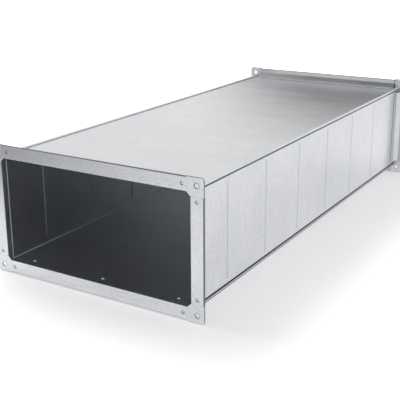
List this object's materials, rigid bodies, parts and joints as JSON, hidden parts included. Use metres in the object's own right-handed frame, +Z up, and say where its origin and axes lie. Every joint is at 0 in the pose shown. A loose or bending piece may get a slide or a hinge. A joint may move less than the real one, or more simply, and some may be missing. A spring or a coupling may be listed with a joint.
{
  "type": "rectangular ventilation duct",
  "caption": "Straight rectangular sheet-metal duct, open at both ends, with a folded-rail flange and bolt-holed corner plates at each end and beaded side walls.",
  "frame": {"origin": "bottom centre of the bounding box, on the floor that the flanges' corner plates stand on", "axes": "+X across the width, +Y along the duct from the front flange to the rear flange, +Z up"},
  "size_m": [0.5532, 1.25, 0.3032],
  "materials": {
    "duct_sheet": "galvanised, fine rolling grain",
    "flange_rail": "galvanised, satin",
    "corner_plate": "galvanised, satin"
  },
  "bodies": {
    "root": {"top_sheet": "duct_sheet", "bottom_sheet": "duct_sheet", "left_side_sheet": "duct_sheet", "right_side_sheet": "duct_sheet", "front_top_rail": "flange_rail", "front_bottom_rail": "flange_rail", "front_left_rail": "flange_rail", "front_right_rail": "flange_rail", "rear_top_rail": "flange_rail", "rear_bottom_rail": "flange_rail", "rear_left_rail": "flange_rail", "rear_right_rail": "flange_rail", "front_top_left_plate": "corner_plate", "front_top_right_plate": "corner_plate", "front_bottom_left_plate": "corner_plate", "front_bottom_right_plate": "corner_plate", "rear_top_left_plate": "corner_plate", "rear_top_right_plate": "corner_plate", "rear_bottom_left_plate": "corner_plate", "rear_bottom_right_plate": "corner_plate"}
  },
  "joints": []
}
